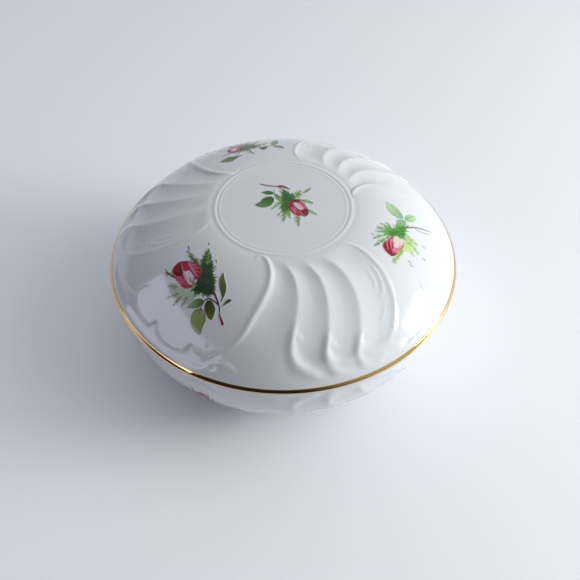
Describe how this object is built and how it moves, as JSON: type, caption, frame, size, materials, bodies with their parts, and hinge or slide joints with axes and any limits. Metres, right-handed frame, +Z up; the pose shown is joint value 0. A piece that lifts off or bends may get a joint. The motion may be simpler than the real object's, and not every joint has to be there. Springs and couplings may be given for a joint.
{
  "type": "trinket box",
  "caption": "Round lidded porcelain trinket box with a domed lift-off lid, swirl-fluted relief panels, rose sprays and a gilt edge.",
  "frame": {"origin": "centre of the bowl's foot ring, on the surface it stands on", "axes": "+Z up along the axis of the box; -Y towards the viewer of the fluted front panel"},
  "size_m": [0.116, 0.116, 0.0581],
  "materials": {
    "porcelain": "clear glossy glaze over white porcelain",
    "gilding": "polished fired gold"
  },
  "bodies": {
    "bowl": {"bowl": "porcelain"},
    "lid": {"lid": "porcelain", "lid_gilt_band": "gilding"}
  },
  "joints": [
    {"name": "lid_lift", "type": "slide", "parent": "bowl", "child": "lid", "axis": [0, 0, 1], "range_m": [0, 0.08]}
  ]
}
